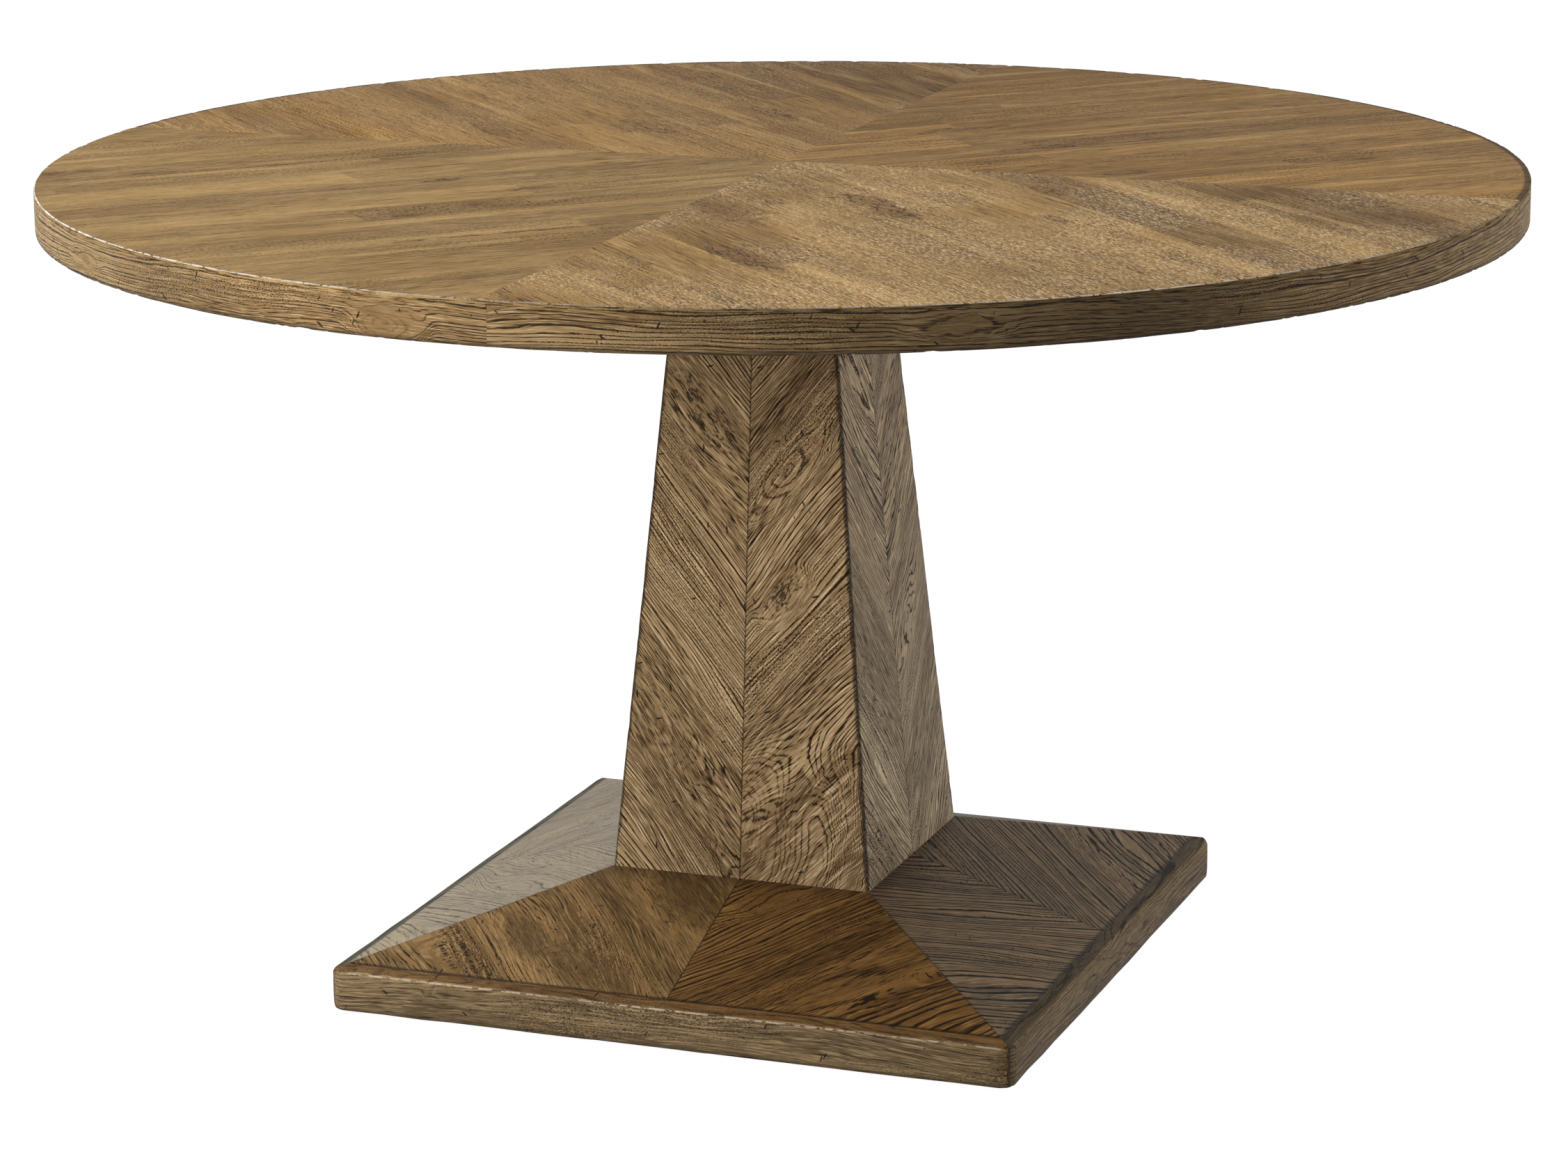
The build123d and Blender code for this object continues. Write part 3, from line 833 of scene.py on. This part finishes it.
# How each strip of the edging took the stain, with painted light and shade by side: a tint for
# its wall and one for its upper face, darker and greyer on the sides away from the light, and how
# pale its arris is, as wear and a painted highlight.
EDGING_LIGHT_AND_SHADE = {
    "front": (WHITE, stain(206, 186, 156), 0.7),
    "right": (stain(216, 210, 200), stain(138, 138, 132), 0.12),
    "back": (stain(216, 210, 200), stain(138, 138, 132), 0.12),
    "left": (stain(240, 238, 232), stain(140, 156, 150), 0.2),
}

# Eyes of the edging: right of the middle of its side and height, then as for the column.
EDGING_KNOTS = {
    "front": [(-0.215, 0.03, 0.4, 0.014, 0.5, 0.6)],
    "right": [(0.085, 0.022, 0.22, 0.022, 0.5, 0.0), (-0.09, 0.026, 0.25, 0.02, -0.4, 0.3)],
    "back": [(0.12, 0.024, 0.25, 0.02, 0.5, 0.0)],
    "left": [(-0.06, 0.024, 0.25, 0.02, -0.5, 0.0)],
}


def edging_edges(side):
    """Painted light and shade by side, darker on its upper face, its arris worn pale with a
    painted highlight, and darker along its foot.
    """
    wall, upper, arris_wear_and_highlight = EDGING_LIGHT_AND_SHADE[side]

    def edges(r, place, colour, dark):
        x, y, z = r.split(place)
        out = r.most(r.size_of(x), r.size_of(y))
        low = r.fade(z, edging_low + 0.0015, edging_low + 0.007, 0.55, 0.0)
        above = r.fall(out, base_half - 0.004, base_half - 0.0026)
        colour = r.tint(colour, r.blend(above, wall, upper))
        off = r.plus(r.apart(out, base_half - 0.0016), r.apart(z, edge_level - 0.0009))
        chips = r.noise(place, (160.0,), 2.0)
        worn_here = r.noise(place, (9.0,))
        # The arris line: worn pale wood, with a painted highlight strongest on the front.
        line = r.times(r.fade(off, 0.0006, 0.0016, arris_wear_and_highlight, 0.0), r.fade(chips, 0.42, 0.52),
                       r.fade(worn_here, 0.35, 0.55, 0.2, 1.0))
        return r.blend(line, colour, stain(190, 172, 148)), r.most(dark, low)
    return edges


def near_arris(place):
    """1 at the edging's upper arris and at its foot, 0 a centimetre away."""
    out = max(abs(place.x), abs(place.y))
    return 1 - min(abs(out - base_half) + abs(place.z - edge_level),
                   abs(place.z - edging_low)) / 0.012


def clear_of_hips(vert):
    return vert.co.y < -hip_half - 0.001


edging_front = copy_of(edging_blank, "edging_strip")
to_edit(edging_front)
saw((0, 0, 0), (1, 1, 0))
saw((0, 0, 0), (-1, 1, 0))
saw((0, -hip_half, 0), (0, 1, 0))
cross_cut(lambda edge: abs(run_of(edge).x) > 0.3 and all(map(clear_of_hips, edge.verts)), 15, 17)
cross_cut(lambda edge: abs(run_of(edge).z) > 0.02 and clear_of_hips(edge.verts[0]), 15)
face_outwards()
from_edit()
for order, (side, angle) in enumerate(SIDES.items()):
    node = f"edging_{side}"
    strip = copy_of(edging_front, f"oak_{node}", angle + 90)
    wear(strip, (near_arris, (swells, 0.0008, 3 * (0.04,)), (bruises, 0.0014, 3 * (0.014,))))
    knots = [(on_side(angle, 0.0, base_half, 0.0, right, level), *rest)
             for right, level, *rest in EDGING_KNOTS[side]]
    finish_piece(strip, node, oak(
        f"edging_oak_{side}", board_turn(angle, 0.0, 0), (0.29 * order, 0.47 * order, 0.0),
        EDGING_STAINS, knots, ring_width=0.0036, swirl=0.03,
        figure=0.16 if side == "front" else 0.28, pores=-0.01, depth=0.75,
        edges=edging_edges(side)))

# ---------------- rim

ROUND = 1536
band_low_arris = 0.002


def disc_blank(name, low, high):
    """A round block as wide as the table, ready in edit mode."""
    bpy.ops.mesh.primitive_cylinder_add(vertices=ROUND, radius=rim_radius, depth=high - low,
                                        location=(0, 0, (high + low) / 2))
    blank = new_blank(name)
    to_edit(blank)
    return blank


band_blank = disc_blank("band_blank", rim_low, rim_high)
choose("FACE", lambda face: abs(face.normal.z) > 0.9)
bpy.ops.mesh.inset(thickness=band_width)
bpy.ops.mesh.delete(type="FACE")
choose("EDGE", lambda edge: len(edge.link_faces) == 1)
bpy.ops.mesh.bridge_edge_loops()
round_over(lambda edge: abs(run_of(edge).z) < 1e-6 and middle_of(edge).z < rim_low + HAIR
           and all(abs(vert.co.xy.length - rim_radius) < HAIR for vert in edge.verts),
           band_low_arris, 3)
cross_cut(lambda edge: abs(run_of(edge).z) > 0.01
          and edge.verts[0].co.xy.length > rim_radius - 0.001, 16)
from_edit()


def quarter(blank, name, start, x, y):
    """The quarter of a round blank that starts at an angle, cut at two upright planes."""
    piece = copy_of(blank, name)
    to_edit(piece)
    for angle in (start, start + 90):
        saw((x, y, 0), -outward(angle))
    face_outwards()
    from_edit()
    return piece


def rim_wear(piece):
    """The worn upper arris of the rim, its bruises, and the softer lower edge."""
    def arris(place):
        off = rim_radius - place.xy.length
        return 1 - hypot(off, top_high - place.z) / 0.014 if off <= 0.012 else 0

    def low_arris(place):
        off = rim_radius - place.xy.length
        return 1 - (place.z - rim_low) / 0.008 if off <= 0.006 else 0

    wear(piece,
         (arris, (swells, 0.0004, 3 * (0.07,)), (bruises, 0.0007, 3 * (0.01,))),
         (low_arris, (swells, 0.0004, 3 * (0.05,)),
          (bruises, 0.0008, 3 * (0.009,), (0.5, 0.2, 0))))


# Eyes of the band: degrees round the rim and height, then as for the column.
BAND_KNOTS = {
    "front_left": [(262.5, 0.744, 0.55, 0.028, 0.85, 0.9), (229.0, 0.748, 0.3, 0.014, 0.4, 0.4)],
    "front_right": [(302.0, 0.752, 0.25, 0.016, 0.4, 0.3)],
    "back_right": [(48.0, 0.748, 0.4, 0.024, 0.5, 0.8)],
    "back_left": [(140.0, 0.75, 0.4, 0.022, 0.5, 0.6)],
}

# Painted light and shade on the band: how bright its stain is made, by degrees round the rim from
# its left-hand end.
BAND_LIGHT_AND_SHADE = [(0, 0.56), (57, 0.58), (79, 1.0), (100, 0.74), (115, 0.48), (133, 0.3),
              (158, 0.57), (200, 0.68), (340, 0.65)]


def steps(r, share, stops, how):
    """A value read off a strip of tones, from 0 at its start to 1 at its end."""
    node = r.add("ValToRGB", {0: share})
    ramp = node.color_ramp
    ramp.interpolation = how
    while len(ramp.elements) < len(stops):
        ramp.elements.new(1.0)
    for element, (position, value) in zip(ramp.elements, stops):
        element.position = position
        element.color = (value, value, value, 1.0)
    return node.outputs[0]


def round_the_rim(r, x, y):
    """How far out from the axis, the angle round it, and that as a share of the whole turn."""
    far = r.calc("SQRT", r.plus(r.times(x, x), r.times(y, y)))
    turn = r.calc("ARCTAN2", y, x)
    return far, turn, r.calc("MULTIPLY_ADD", turn, 0.5 / pi, 0.5)


def by_degrees(r, share, table):
    return steps(r, share, [(degrees / 360, value) for degrees, value in table], "EASE")


def band_oak(name, order, corner):
    """Solid oak bent to the rim: the board's X runs round the edge, its Y in and upwards."""
    material, r, shader = new_material(name)
    x, y, z = r.split(r.here())
    far, turn, share = round_the_rim(r, x, y)
    shift = Vector((0.9 * order, 0.31 * order, 0.0))
    board = r.join(r.plus(r.times(turn, rim_radius), shift.x),
                   r.plus(z, far, shift.y - rim_radius), 0.0)
    swell, knot = gather_eyes(r, board, [
        (Vector((radians((degrees + 180) % 360 - 180) * rim_radius, level, 0)) + shift, *rest)
        for degrees, level, *rest in BAND_KNOTS[corner]], "Core", "Calm", "Patch")
    wood = r.use(brushed_oak, {
        "Board": board, "Ring Width": 0.0036, "Swirl": 0.035, "Swell": swell,
        "Figure": r.calc("MULTIPLY_ADD", knot["Calm"], -0.2, 0.3), "Pores": 0.0,
        "Depth": 0.95, "Ridges": 0.8, "Streaks": 0.5, **BAND_STAINS})
    colour = r.blend(r.fade(knot["Patch"], 0.0, 0.5, 0.0, 0.7), wood["Colour"],
                     BAND_STAINS["Deep"])
    # Painted light and shade round the rim.
    colour = r.tint(colour, by_degrees(r, share, BAND_LIGHT_AND_SHADE))
    hurt = r.use(distress, {"Board": board, "Amount": 1.0})["Marks"]
    low = r.fade(z, rim_low + 0.001, rim_low + 0.006, 0.7, 0.0)
    dark = r.most(hurt, r.times(knot["Core"], 0.5), low)
    to_shader(r, shader, r.blend(r.times(dark, MARK_TONE), colour, GRIME_AND_SHADE), 0.6,
              r.plus(wood["Height"], r.times(hurt, -MARK_DEPTH)), 0.12)
    return material


top_blank = disc_blank("top_blank", top_low, top_high)
round_over(lambda edge: all(vert.co.z > top_high - HAIR for vert in edge.verts),
           arris_width, 3)
for width in (0.002, 0.003, 0.006, 0.012):
    choose("FACE", lambda face: face.normal.z > 0.99 and len(face.verts) > 100)
    bpy.ops.mesh.inset(thickness=width)
from_edit()

STRIP = 0.065

# For each quarter, its strips from the right-hand seam to the left-hand one, seen from the
# rim: tone of the inner length in hundredths, distance of the butt joint in millimetres, tone
# beyond it. A strip without a joint has one tone.
STRIPS = {
    "front_right": [(70,), (62, 440, 72), (84,), (58, 485, 90), (38, 260, 72), (60, 220, 68),
                    (50, 280, 60), (66, 230, 55), (75, 410, 74), (28, 330, 42), (74,),
                    (26, 390, 40), (28,), (52,)],
    "back_right": [(62,), (52,), (54,), (34, 420, 40), (40, 360, 52), (44, 230, 50),
                   (36, 250, 30), (56, 200, 38), (46, 240, 34), (26, 240, 40), (30, 340, 40),
                   (40,), (28,), (30,)],
    "back_left": [(26,), (18,), (14,), (30,), (40, 360, 28), (40, 340, 46), (56, 230, 42),
                  (62, 230, 46), (68, 300, 64), (44, 380, 40), (74, 360, 56), (80,), (56,),
                  (80,)],
    "front_left": [(62,), (62,), (60,), (48,), (48, 340, 60), (56, 400, 72), (50, 240, 48),
                   (50, 280, 58), (34, 470, 56), (58,), (44, 300, 58), (46, 380, 58), (64,),
                   (66,)],
}

# Knots of the top: distance along and across the strips, how long they are drawn, reach,
# how the rings open, heart.
TOP_KNOTS = {
    "front_right": [(0.24, -0.026, 0.35, 0.03, 0.6, 1.0), (0.3, -0.03, 0.35, 0.028, 0.6, 1.0),
                    (0.215, -0.165, 0.2, 0.045, 0.3, 0.65), (0.265, 0.145, 0.35, 0.02, 0.6, 0.9),
                    (0.44, -0.245, 0.25, 0.034, 0.3, 0.85), (0.4, 0.08, 0.3, 0.015, 0.6, 0.7),
                    (0.32, 0.28, 0.3, 0.022, 0.6, 0.5)],
    "back_right": [(0.23, 0.095, 0.25, 0.024, 0.6, 0.8), (0.258, -0.04, 0.22, 0.024, 0.6, 0.9),
                   (0.262, -0.21, 0.3, 0.018, 0.6, 0.8), (0.56, 0.35, 0.35, 0.018, 0.6, 0.6)],
    "back_left": [(0.3, 0.18, 0.3, 0.022, 0.6, 0.7), (0.255, 0.03, 0.25, 0.03, 0.6, 0.7),
                  (0.27, -0.115, 0.25, 0.026, 0.6, 0.8), (0.558, -0.123, 0.2, 0.02, 0.6, 0.6)],
    "front_left": [(0.35, 0.088, 0.55, 0.016, 0.6, 1.0), (0.272, 0.035, 0.35, 0.016, 0.6, 0.9),
                   (0.428, 0.118, 0.55, 0.015, 0.6, 1.0), (0.33, -0.045, 0.45, 0.016, 0.6, 0.9),
                   (0.64, -0.248, 0.3, 0.02, 0.6, 0.7), (0.37, 0.24, 0.035, 0.007, 0.2, 0.9),
                   (0.494, 0.003, 0.25, 0.014, 0.6, 0.6)],
}

# For each quarter: how white the filler in its pores is, the stain over all of it, and the dark
# line just inside the rim, as how far in it starts, where it is full, how dark it is. At the back
# the line is wider and darker, with painted shade on the arris.
FRONT_LINE, BACK_LINE_AND_SHADE = (0.005, arris_width, 0.45), (0.01, 0.0045, 0.85)
QUARTERS = {"front_right": (0.44, stain(238, 232, 224), FRONT_LINE),
            "back_right": (0.08, stain(255, 244, 232), BACK_LINE_AND_SHADE),
            "back_left": (0.16, stain(244, 232, 214), BACK_LINE_AND_SHADE),
            "front_left": (0.1, WHITE, FRONT_LINE)}

# The painted highlight on the upper arris, worn pale: how strong it is, by degrees round the rim
# from its left-hand end.
ARRIS_HIGHLIGHT = [(0, 0.8), (50, 0.8), (75, 0.62), (88, 0.35), (105, 0.2), (122, 0.35), (132, 0.65),
          (150, 0.4), (172, 0.15), (186, 0.0), (344, 0.0), (358, 0.8)]

# The brush leaves the top's grain coarser than the other faces'.
COARSE = 0.55


def ladder(r, across, values):
    """A value for each strip, looked up by the distance across the strips."""
    share = r.calc("MULTIPLY_ADD", across, 1 / STRIP / len(values), 0.5)
    return steps(r, share, [(step / len(values), value) for step, value in enumerate(values)],
                 "CONSTANT")


def top_oak(name, order, corner, angle):
    """A quarter of the top: parallel strips, their grain along the quarter's middle."""
    along = outward(angle + 45)
    turn = Matrix((along, Vector((0, 0, 1)).cross(along), Vector((0, 0, 1))))
    meeting = turn @ Vector((meeting_x, meeting_y, 0))
    material, r, shader = new_material(name)
    place = r.here()
    x, y, z = r.split(place)
    far, angle_here, share = round_the_rim(r, x, y)
    board = r.laid(place, turn.to_euler(), (-meeting.x, -meeting.y, 0.0))
    bx, by = r.split(board)[:2]
    columns = zip(*[(0, 0, *strip)[-3:] for strip in STRIPS[corner]])
    inner, joint, outer = (ladder(r, by, [value / whole for value in column])
                           for column, whole in zip(columns, (100, 1000, 100)))
    beyond = r.calc("GREATER_THAN", bx, joint)
    tone = r.plus(r.times(inner, r.calc("SUBTRACT", 1.0, beyond)), r.times(outer, beyond))
    strip = r.calc("FLOOR", r.calc("DIVIDE", by, STRIP))
    drawn = r.add("TexWhiteNoise", {"W": r.plus(strip, r.times(beyond, 40.0), 7.3 * order)},
                  noise_dimensions="1D").outputs["Value"]
    swell, knot = gather_eyes(
        r, board, [((u, v, 0.0), *rest) for u, v, *rest in TOP_KNOTS[corner]], "Patch")
    shifted = r.join(r.plus(bx, r.times(drawn, 5.0)), r.plus(by, r.times(drawn, 2.0)), 0.0)
    wood = r.use(brushed_oak, {
        "Board": r.stretch(shifted, (COARSE, COARSE, COARSE)), "Ring Width": 0.005 * COARSE,
        "Swirl": 0.025, "Swell": r.times(swell, COARSE), "Figure": 0.14, "Pores": 0.0,
        "Depth": 0.85, "Ridges": 0.6, "Streaks": 0.6, **TOP_STAINS})
    lime, glaze, (line_start, line_full, line_dark) = QUARTERS[corner]
    shade = r.blend(tone, stain(120, 105, 88), glaze)
    colour = r.tint(wood["Colour"], shade)
    streak = r.noise(shifted, (3.2, 32.0), 3.0, 0.6)
    colour = r.blend(r.fade(streak, 0.48, 0.74, 0.0, 0.36), colour, TOP_STAINS["Deep"])
    colour = r.blend(r.fade(streak, 0.26, 0.5, 0.24, 0.0), colour, TOP_STAINS["Pale"])
    limed = r.noise(shifted, (140.0, 900.0), 2.0, distortion=0.7)
    limed_here = r.noise(board, (5.0,), 2.0)
    limed = r.times(r.fade(limed, 0.53, 0.62), r.fade(limed_here, 0.3, 0.58), lime)
    colour = r.blend(limed, colour, stain(212, 192, 158))
    colour = r.blend(r.fade(knot["Patch"], 0.0, 0.5, 0.0, 0.75), colour, stain(88, 64, 36))
    check = r.fade(r.noise(shifted, (15.0, 170.0), 2.0, 0.6), 0.68, 0.74, 0.0, 0.7)
    crack = r.most(r.fade(knot["Patch"], 0.5, 0.75), check)
    ragged = r.noise(place, (60.0,), 2.0)
    # The dark line inside the rim: a dark joint, widened at the back by painted shade.
    rim = r.fade(far, r.calc("MULTIPLY_ADD", ragged, 0.004, rim_radius - line_start),
                 rim_radius - line_full, 0.0, line_dark)
    hurt = r.use(distress, {"Board": board, "Amount": 0.45})["Marks"]
    dark = r.times(r.most(crack, hurt, rim), MARK_TONE)
    colour = r.blend(dark, colour, stain(36, 25, 15))
    height = r.plus(r.times(wood["Height"], 0.6), r.times(hurt, -0.0004),
                    r.times(crack, -0.0004))
    wall = r.times(r.fade(far, rim_radius - 0.0009, rim_radius - 0.0005),
                   r.fall(z, top_high - arris_width, top_high - arris_width / 2))
    lines = r.noise(r.join(r.times(angle_here, rim_radius), z, 0.0), (40.0, 800.0, 0.0), 2.0)
    side = r.blend(r.fade(lines, 0.46, 0.6, 0.0, 0.8), BAND_STAINS["Mid"], BAND_STAINS["Grain"])
    # The leaf's edge takes the band's painted light and shade.
    side = r.tint(side, by_degrees(r, share, BAND_LIGHT_AND_SHADE))
    colour = r.blend(wall, colour, side)
    # A painted highlight along the upper arris, strongest on the left.
    arris_wear_and_highlight = by_degrees(r, share, ARRIS_HIGHLIGHT)
    chips = r.noise(place, (220.0,), 2.0)
    arris = r.times(r.fade(far, rim_radius - arris_width * 1.3, rim_radius - arris_width * 0.7),
                    r.fade(z, top_high - arris_width, top_high - arris_width * 0.6),
                    r.fade(chips, 0.34, 0.46), r.fade(ragged, 0.3, 0.6, 0.45, 0.85), arris_wear_and_highlight)
    colour = r.blend(arris, colour, stain(214, 208, 198))
    to_shader(r, shader, colour, r.plus(0.5, r.times(wood["Dark"], 0.2)), height, 0.015)
    return material


for order, (corner, start) in enumerate(CORNERS.items()):
    node = f"edge_band_{corner}"
    band = quarter(band_blank, f"oak_{node}", start, 0, 0)
    rim_wear(band)
    finish_piece(band, node, band_oak(f"band_oak_{corner}", order, corner))
    node = f"top_leaf_{corner}"
    leaf = quarter(top_blank, f"oak_{node}", start, meeting_x, meeting_y)
    rim_wear(leaf)
    finish_piece(leaf, node, top_oak(f"top_oak_{corner}", order, corner, start))

for blank in (column_blank, hip_blank, edging_blank, edging_front, band_blank, top_blank,
              *column_leaves.values(), *hip_leaves.values()):
    bpy.data.objects.remove(blank)

# ---------------- boards, blocks, fittings

PLY = 0.0015


def plain_board(name, turn, pale, deep, rays=0.0, plies=0.0):
    """Close wood with its grain along X once turned: soft figure, small rays, ply edges."""
    material, r, shader = new_material(name)
    place = r.here()
    board = r.laid(place, turn)
    figure = r.noise(board, (1.6, 15.0), 3.0, 0.55, 0.6)
    fibre = r.noise(board, (30.0, 700.0), 2.0, 0.6)
    colour = r.blend(r.fade(figure, 0.36, 0.62), pale, deep)
    colour = r.blend(r.fade(fibre, 0.5, 0.7, 0.0, 0.5), colour, deep)
    ray = r.fade(r.noise(board, (150.0, 900.0, 400.0)), 0.66, 0.72)
    colour = r.blend(r.times(ray, rays), colour, stain(112, 76, 46))
    layer = r.calc("FRACT", r.calc("DIVIDE", r.split(place)[2], 2 * PLY))
    upright = r.size_of(r.split(r.add("NewGeometry").outputs["Normal"])[2])
    glue = r.times(r.fade(layer, 0.44, 0.52), r.fall(layer, 0.94, 1.0),
                   r.fade(upright, 0.3, 0.6, plies, 0.0))
    colour = r.blend(glue, colour, stain(134, 98, 60))
    to_shader(r, shader, colour, r.fade(figure, 0.3, 0.7, 0.5, 0.62), r.times(fibre, 0.0001),
              0.25)
    return material


def fitting(name, pale, deep, metal, rough, grit, size):
    """A plated, coated or moulded surface: faint clouds, uneven gloss and a fine grit."""
    material, r, shader = new_material(name)
    place = r.here()
    cloud = r.noise(place, (60.0,), 3.0)
    grains = r.noise(place, (size,), 2.0)
    r.feed(shader, "Metallic", metal)
    to_shader(r, shader, r.blend(r.fade(cloud, 0.35, 0.65), pale, deep),
              r.fade(cloud, 0.3, 0.7, rough - 0.08, rough + 0.08), r.times(grains, grit))
    return material


LYING, STANDING = (0.0, 0.0, 0.0), (0.0, pi / 2, 0.0)
birch, beech = (stain(222, 196, 154), stain(198, 166, 120)), (stain(212, 176, 136),
                                                              stain(190, 150, 110))
# Each finish of the hidden pieces, for a piece that lies level and for one that stands.
FINISHES = {
    "plywood": (plain_board("birch_ply_level", LYING, *birch, plies=0.8),
                plain_board("birch_ply_upright", STANDING, *birch)),
    "beech": (plain_board("beech_level", LYING, *beech, rays=0.7),
              plain_board("beech_upright", STANDING, *beech, rays=0.7)),
    "black_steel": 2 * (fitting("powder_coat", stain(44, 44, 44), stain(34, 34, 35), 0.0, 0.5,
                                0.00004, 900.0),),
    "zinc_steel": 2 * (fitting("bright_zinc", stain(206, 206, 202), stain(184, 186, 186), 1.0,
                               0.34, 0.00001, 400.0),),
    "nylon": 2 * (fitting("black_nylon", stain(60, 60, 61), stain(50, 50, 51), 0.0, 0.45,
                          0.00002, 700.0),),
}
slots = {row["node"]: row["material_slot"] for row in frame["record"]["subparts"]}
for name, part in frame["nodes"].items():
    if slots[name] in FINISHES:
        stands = name.startswith("column_") or name == "corner_blocks"
        coat(part, FINISHES[slots[name]][stands])
